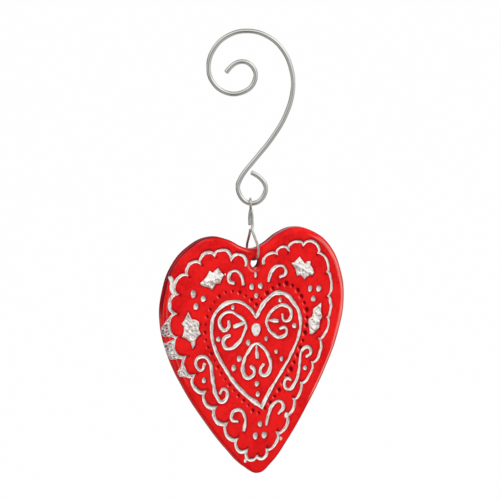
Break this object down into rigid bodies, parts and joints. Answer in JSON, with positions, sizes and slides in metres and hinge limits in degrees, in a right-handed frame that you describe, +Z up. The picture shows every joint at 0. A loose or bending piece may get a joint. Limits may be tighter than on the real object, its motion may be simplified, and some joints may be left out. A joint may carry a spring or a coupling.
{
  "type": "glass heart ornament",
  "caption": "Flat red glass heart with silver scroll inlays, hung by a twisted wire link from a scroll-shaped wire hook that fits over a twig.",
  "frame": {"origin": "the point under the top of the hook's crook where it rests on a twig", "axes": "+Z up along the hanging direction and the longest extent, the heart's front faces -Y, +X is to the right in the front view"},
  "size_m": [0.0762, 0.016, 0.1663],
  "materials": {
    "hook_wire": "bright drawn steel wire",
    "link_wire": "thin soft steel wire",
    "red_glass": "pressed glass, fire-polished, opaque bright red",
    "silver_inlay": "matt silver leaf, slightly crinkled"
  },
  "bodies": {
    "hook": {"scroll_hook": "hook_wire"},
    "link": {"wire_link": "link_wire"},
    "heart": {"glass_heart": "red_glass", "holly_leaf_lower_left": "silver_inlay", "holly_leaf_lower_right": "silver_inlay", "holly_leaf_upper_left": "silver_inlay", "holly_leaf_upper_right": "silver_inlay", "silver_bar_left": "silver_inlay", "silver_bar_right": "silver_inlay", "silver_border": "silver_inlay", "silver_cane_lower_left": "silver_inlay", "silver_cane_lower_right": "silver_inlay", "silver_cane_upper_left": "silver_inlay", "silver_cane_upper_right": "silver_inlay", "silver_centre_disc": "silver_inlay", "silver_curl_left": "silver_inlay", "silver_curl_right": "silver_inlay", "silver_dot_01": "silver_inlay", "silver_dot_02": "silver_inlay", "silver_dot_03": "silver_inlay", "silver_dot_04": "silver_inlay", "silver_dot_05": "silver_inlay", "silver_dot_06": "silver_inlay", "silver_dot_07": "silver_inlay", "silver_dot_08": "silver_inlay", "silver_dot_09": "silver_inlay", "silver_dot_10": "silver_inlay", "silver_dot_11": "silver_inlay", "silver_dot_12": "silver_inlay", "silver_dot_13": "silver_inlay", "silver_dot_14": "silver_inlay", "silver_dot_15": "silver_inlay", "silver_dot_16": "silver_inlay", "silver_dot_17": "silver_inlay", "silver_dot_18": "silver_inlay", "silver_dot_19": "silver_inlay", "silver_dot_20": "silver_inlay", "silver_dot_21": "silver_inlay", "silver_dot_22": "silver_inlay", "silver_dot_23": "silver_inlay", "silver_dot_24": "silver_inlay", "silver_dot_25": "silver_inlay", "silver_dot_26": "silver_inlay", "silver_drop": "silver_inlay", "silver_inner_heart": "silver_inlay", "silver_lyre": "silver_inlay", "silver_lyre_drop": "silver_inlay", "silver_scroll_left": "silver_inlay", "silver_scroll_right": "silver_inlay"}
  },
  "joints": [
    {"name": "link_swing", "type": "hinge", "parent": "hook", "child": "link", "pos_m": [0, 0, -0.0623], "axis": [0.8829, -0.4695, 0], "range_deg": [-60, 60]},
    {"name": "heart_swing", "type": "hinge", "parent": "link", "child": "heart", "pos_m": [0, 0, -0.0829], "axis": [0, 1, 0], "range_deg": [-30, 30]}
  ]
}
